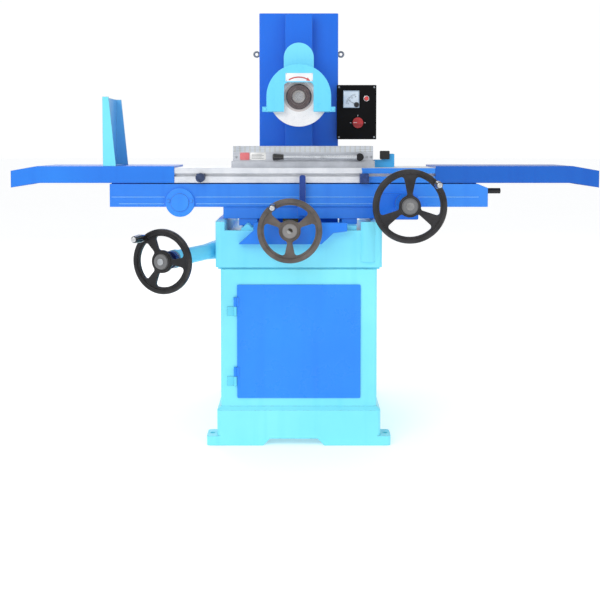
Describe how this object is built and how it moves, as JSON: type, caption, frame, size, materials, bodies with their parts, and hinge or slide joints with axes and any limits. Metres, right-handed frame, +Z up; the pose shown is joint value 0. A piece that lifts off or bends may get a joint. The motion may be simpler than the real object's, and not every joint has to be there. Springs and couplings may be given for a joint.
{
  "type": "surface grinder",
  "caption": "Manual surface grinder: cabinet base, cross slide, long hand-fed table with magnetic chuck, column with raising wheel head and guarded wheel.",
  "frame": {"origin": "centre of the four anchor holes, at floor level", "axes": "+Z up, +X along the table to the operator's right, operator at -Y"},
  "size_m": [1.914, 0.9855, 1.43],
  "materials": {
    "base_cabinet": "semi-gloss enamel",
    "door_hinges": "satin",
    "bed": "semi-gloss enamel",
    "column": "semi-gloss enamel",
    "column_rear_cover": "semi-gloss enamel",
    "eye_bolts": "machined",
    "bearing_bracket": "satin",
    "elevation_tube": "semi-gloss enamel",
    "cross_feed_bracket": "semi-gloss enamel",
    "control_box": "fine textured",
    "control_panel": "fine textured",
    "ammeter": "glossy",
    "pilot_lamp": "clear moulded",
    "cabinet_door": "semi-gloss enamel",
    "saddle": "semi-gloss enamel",
    "bore_cover": "semi-gloss enamel",
    "pinion_bearing_block": "semi-gloss enamel",
    "end_buffer": "matt",
    "cross_nut": "machined bronze",
    "reversing_lever": "worn enamel",
    "table_pinion_shaft": "machined",
    "table_handwheel": "worn black enamel",
    "table_grip": "polished",
    "cross_feed_screw": "machined",
    "cross_handwheel": "worn black enamel",
    "cross_grip": "polished",
    "elevation_shaft": "machined",
    "elevation_dial": "semi-gloss enamel",
    "elevation_handwheel": "worn black enamel",
    "bevel_pinion": "machined",
    "elevation_grip": "polished",
    "elevating_screw": "machined",
    "bevel_gear": "machined",
    "table": "ground",
    "table_rack": "machined",
    "left_wing": "semi-gloss enamel",
    "right_wing": "semi-gloss enamel",
    "splash_guard": "semi-gloss enamel",
    "magnetic_chuck": "ground",
    "chuck_pole_plate": "ground",
    "work_stop": "semi-gloss enamel",
    "stop_pad": "matt",
    "chuck_lever": "machined",
    "chuck_lever_knob": "polished",
    "left_trip_dog": "worn enamel",
    "right_trip_dog": "worn enamel",
    "wheel_head": "semi-gloss enamel",
    "belt_cover": "semi-gloss enamel",
    "spindle_bearings": "machined",
    "motor_body": "cast",
    "drive_belt": "matt",
    "wheel_guard": "semi-gloss enamel",
    "guard_cover": "semi-gloss enamel",
    "elevating_nut": "machined bronze",
    "spindle_shaft": "machined",
    "wheel_flanges": "machined",
    "grinding_wheel": "porous vitrified abrasive",
    "wheel_nut": "machined",
    "motor_rotor": "cast",
    "selector_switch": "moulded"
  },
  "bodies": {
    "frame": {"base_cabinet": "base_cabinet", "door_hinges": "door_hinges", "bed": "bed", "column": "column", "column_rear_cover": "column_rear_cover", "eye_bolts": "eye_bolts", "bearing_bracket": "bearing_bracket", "elevation_tube": "elevation_tube", "cross_feed_bracket": "cross_feed_bracket", "control_box": "control_box", "control_panel": "control_panel", "ammeter": "ammeter", "pilot_lamp": "pilot_lamp"},
    "door": {"cabinet_door": "cabinet_door"},
    "saddle": {"saddle": "saddle", "bore_cover": "bore_cover", "pinion_bearing_block": "pinion_bearing_block", "end_buffer": "end_buffer", "cross_nut": "cross_nut"},
    "reversing_lever": {"reversing_lever": "reversing_lever"},
    "table_wheel": {"table_pinion_shaft": "table_pinion_shaft", "table_handwheel": "table_handwheel"},
    "table_grip": {"table_grip": "table_grip"},
    "cross_wheel": {"cross_feed_screw": "cross_feed_screw", "cross_handwheel": "cross_handwheel"},
    "cross_grip": {"cross_grip": "cross_grip"},
    "elevation_wheel": {"elevation_shaft": "elevation_shaft", "elevation_dial": "elevation_dial", "elevation_handwheel": "elevation_handwheel", "bevel_pinion": "bevel_pinion"},
    "elevation_grip": {"elevation_grip": "elevation_grip"},
    "lift_screw": {"elevating_screw": "elevating_screw", "bevel_gear": "bevel_gear"},
    "table": {"table": "table", "table_rack": "table_rack", "left_wing": "left_wing", "right_wing": "right_wing", "splash_guard": "splash_guard", "magnetic_chuck": "magnetic_chuck", "chuck_pole_plate": "chuck_pole_plate", "work_stop": "work_stop", "stop_pad": "stop_pad"},
    "chuck_lever": {"chuck_lever": "chuck_lever", "chuck_lever_knob": "chuck_lever_knob"},
    "left_dog": {"left_trip_dog": "left_trip_dog"},
    "right_dog": {"right_trip_dog": "right_trip_dog"},
    "head": {"wheel_head": "wheel_head", "belt_cover": "belt_cover", "spindle_bearings": "spindle_bearings", "motor_body": "motor_body", "drive_belt": "drive_belt", "wheel_guard": "wheel_guard", "guard_cover": "guard_cover", "elevating_nut": "elevating_nut"},
    "spindle": {"spindle_shaft": "spindle_shaft", "wheel_flanges": "wheel_flanges", "grinding_wheel": "grinding_wheel", "wheel_nut": "wheel_nut"},
    "motor": {"motor_rotor": "motor_rotor"},
    "switch": {"selector_switch": "selector_switch"}
  },
  "joints": [
    {"name": "door_swing", "type": "hinge", "parent": "frame", "child": "door", "pos_m": [-0.203, -0.3553, 0.33], "axis": [0, 0, -1], "range_deg": [0, 110]},
    {"name": "cross_wheel_turn", "type": "hinge", "parent": "frame", "child": "cross_wheel", "pos_m": [-0.028, -0.43, 0.696], "axis": [0, 1, 0], "range_deg": [-5401, 5401]},
    {"name": "saddle_slide", "type": "slide", "parent": "frame", "child": "saddle", "axis": [0, 1, 0], "range_m": [-0.075, 0.075]},
    {"name": "cross_grip_turn", "type": "hinge", "parent": "cross_wheel", "child": "cross_grip", "pos_m": [-0.08077, -0.47, 0.77136], "axis": [0, 1, 0], "continuous": true},
    {"name": "table_slide", "type": "slide", "parent": "saddle", "child": "table", "axis": [1, 0, 0], "range_m": [-0.15, 0.23]},
    {"name": "table_wheel_turn", "type": "hinge", "parent": "saddle", "child": "table_wheel", "pos_m": [0.342, -0.445, 0.773], "axis": [0, 1, 0], "range_deg": [-344, 528]},
    {"name": "table_grip_turn", "type": "hinge", "parent": "table_wheel", "child": "table_grip", "pos_m": [0.4232, -0.485, 0.84113], "axis": [0, 1, 0], "continuous": true},
    {"name": "elevation_wheel_turn", "type": "hinge", "parent": "frame", "child": "elevation_wheel", "pos_m": [-0.40292, -0.57198, 0.618], "axis": [0.3746, 0.9272, 0], "range_deg": [-4320, 10800]},
    {"name": "elevation_grip_turn", "type": "hinge", "parent": "elevation_wheel", "child": "elevation_grip", "pos_m": [-0.45315, -0.55168, 0.68734], "axis": [0.3746, 0.9272, 0], "continuous": true},
    {"name": "lift_screw_turn", "type": "hinge", "parent": "frame", "child": "lift_screw", "pos_m": [-0.089, 0.205, 0.7], "axis": [0, 0, 1], "range_deg": [-4320, 10800]},
    {"name": "head_slide", "type": "slide", "parent": "frame", "child": "head", "axis": [0, 0, 1], "range_m": [-0.06, 0.15]},
    {"name": "spindle_turn", "type": "hinge", "parent": "head", "child": "spindle", "pos_m": [0, -0.15, 1.123], "axis": [0, 1, 0], "continuous": true},
    {"name": "motor_turn", "type": "hinge", "parent": "head", "child": "motor", "pos_m": [0, -0.05, 1.257], "axis": [0, 1, 0], "continuous": true},
    {"name": "chuck_lever_turn", "type": "hinge", "parent": "table", "child": "chuck_lever", "pos_m": [0.2, -0.2433, 0.922], "axis": [0, 1, 0], "range_deg": [0, 180]},
    {"name": "reversing_lever_tilt", "type": "hinge", "parent": "saddle", "child": "reversing_lever", "pos_m": [0.012, -0.28, 0.747], "axis": [0, 1, 0], "range_deg": [-12, 12]},
    {"name": "left_dog_slide", "type": "slide", "parent": "table", "child": "left_dog", "axis": [1, 0, 0], "range_m": [-0.065, 0]},
    {"name": "right_dog_slide", "type": "slide", "parent": "table", "child": "right_dog", "axis": [1, 0, 0], "range_m": [0, 0.2]},
    {"name": "switch_turn", "type": "hinge", "parent": "frame", "child": "switch", "pos_m": [0.21, 0.03, 1.04], "axis": [0, 1, 0], "range_deg": [0, 90]}
  ],
  "couplings": [
    {"joint": "cross_wheel_turn", "follows": "saddle_slide", "rad_per_m": 1256.6},
    {"joint": "table_wheel_turn", "follows": "table_slide", "rad_per_m": 40},
    {"joint": "head_slide", "follows": "elevation_wheel_turn", "m_per_rad": 0.0007957},
    {"joint": "lift_screw_turn", "follows": "elevation_wheel_turn", "ratio": 1},
    {"joint": "motor_turn", "follows": "spindle_turn", "ratio": 0.83333}
  ]
}
